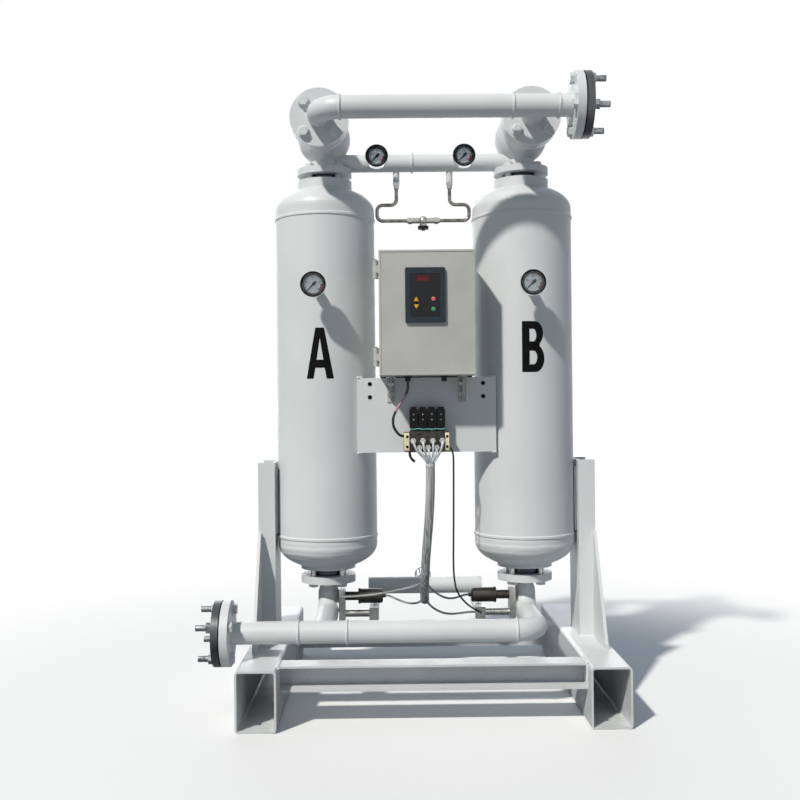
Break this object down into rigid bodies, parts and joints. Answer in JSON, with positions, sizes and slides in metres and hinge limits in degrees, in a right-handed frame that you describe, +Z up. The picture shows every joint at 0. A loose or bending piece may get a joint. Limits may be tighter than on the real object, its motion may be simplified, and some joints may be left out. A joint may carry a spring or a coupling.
{
  "type": "desiccant air dryer",
  "caption": "Twin-tower desiccant compressed-air dryer on a skid, with switching valves, flanged headers, purge line, gauges and a control cabinet.",
  "frame": {"origin": "centre of the floor anchor holes, on the floor under the skid rails", "axes": "+X to the right seen from the front, +Y to the back, +Z up"},
  "size_m": [1.06, 0.7805, 1.6065],
  "materials": {
    "paint": "satin light grey paint",
    "cabinet_paint": "fine textured grey paint",
    "raw_steel": "bare dark steel",
    "zinc": "zinc plated",
    "stainless": "bare stainless steel",
    "manifold_alloy": "bare alloy",
    "gasket": "black rubber",
    "black_plastic": "black plastic",
    "keys": "coloured membrane keys",
    "terminals": "grey terminal blocks",
    "dial": "white enamelled dial",
    "pointer": "black pointer",
    "lens": "clear window",
    "desiccant": "white beads",
    "tube": "translucent tube"
  },
  "bodies": {
    "frame": {"left_skid_rail": "paint", "right_skid_rail": "paint", "front_crossmember": "paint", "rear_crossmember": "paint", "left_upright": "paint", "right_upright": "paint", "tower_a_vessel": "paint", "tower_b_vessel": "paint", "desiccant_beds": "desiccant", "support_screens": "stainless", "strainers": "stainless", "flange_gaskets": "gasket", "bottom_flange_bolts": "zinc", "top_flange_bolts": "paint", "inlet_manifold": "paint", "outlet_manifold": "paint", "inlet_counter_flange": "raw_steel", "outlet_counter_flange": "raw_steel", "port_studs": "zinc", "exhaust_valve_bodies": "stainless", "exhaust_actuators": "stainless", "exhaust_manifold": "paint", "silencer": "stainless", "outlet_valve_bodies": "paint", "cover_bolts": "paint", "purge_pipe": "paint", "purge_tubes": "stainless", "purge_fittings": "stainless", "needle_valve_body": "stainless", "gauge_cases": "stainless", "gauge_dials": "dial", "gauge_lenses": "lens", "cabinet_body": "cabinet_paint", "hinge_pins": "zinc", "back_plate": "zinc", "terminal_strip": "terminals", "cable_glands": "black_plastic", "mounting_panel": "paint", "cabinet_brackets": "cabinet_paint", "valve_manifold": "manifold_alloy", "solenoid_coils": "black_plastic", "tube_fittings": "stainless", "tube_bundle": "tube", "coil_tubes": "tube", "pilot_tubes": "tube", "coil_cable": "black_plastic", "signal_cable": "black_plastic"},
    "door": {"cabinet_door": "cabinet_paint", "door_gasket": "gasket", "controller": "black_plastic", "controller_keys": "keys"},
    "needle_knob": {"needle_valve_knob": "black_plastic"},
    "pointer_a": {"gauge_needle_a": "pointer"},
    "pointer_b": {"gauge_needle_b": "pointer"},
    "pointer_left": {"gauge_needle_left": "pointer"},
    "pointer_right": {"gauge_needle_right": "pointer"},
    "plunger_a": {"exhaust_plunger_a": "zinc"},
    "plunger_b": {"exhaust_plunger_b": "zinc"},
    "disc_a": {"check_disc_a": "stainless"},
    "disc_b": {"check_disc_b": "stainless"}
  },
  "joints": [
    {"name": "door_hinge", "type": "hinge", "parent": "frame", "child": "door", "pos_m": [-0.133, -0.20685, 1.021], "axis": [0, 0, 1], "range_deg": [-120, 0]},
    {"name": "needle_knob_turn", "type": "hinge", "parent": "frame", "child": "needle_knob", "pos_m": [0, 0, 1.281], "axis": [0, 0, 1], "range_deg": [-360, 1080]},
    {"name": "pointer_a_turn", "type": "hinge", "parent": "frame", "child": "pointer_a", "pos_m": [-0.292, -0.2165, 1.096], "axis": [0, 1, 0], "range_deg": [0, 270]},
    {"name": "pointer_b_turn", "type": "hinge", "parent": "frame", "child": "pointer_b", "pos_m": [0.273, -0.2165, 1.096], "axis": [0, 1, 0], "range_deg": [0, 270]},
    {"name": "pointer_left_turn", "type": "hinge", "parent": "frame", "child": "pointer_left", "pos_m": [-0.127, -0.081, 1.457], "axis": [0, 1, 0], "range_deg": [0, 270]},
    {"name": "pointer_right_turn", "type": "hinge", "parent": "frame", "child": "pointer_right", "pos_m": [0.109, -0.081, 1.457], "axis": [0, 1, 0], "range_deg": [0, 270]},
    {"name": "plunger_a_slide", "type": "slide", "parent": "frame", "child": "plunger_a", "axis": [1, 0, 0], "range_m": [0, 0.012], "stiffness_N_per_m": 1500},
    {"name": "plunger_b_slide", "type": "slide", "parent": "frame", "child": "plunger_b", "axis": [-1, 0, 0], "range_m": [0, 0.012], "stiffness_N_per_m": 1500},
    {"name": "disc_a_lift", "type": "slide", "parent": "frame", "child": "disc_a", "axis": [0, -1, 0], "range_m": [0, 0.025], "stiffness_N_per_m": 200},
    {"name": "disc_b_lift", "type": "slide", "parent": "frame", "child": "disc_b", "axis": [0, -1, 0], "range_m": [0, 0.025], "stiffness_N_per_m": 200}
  ]
}
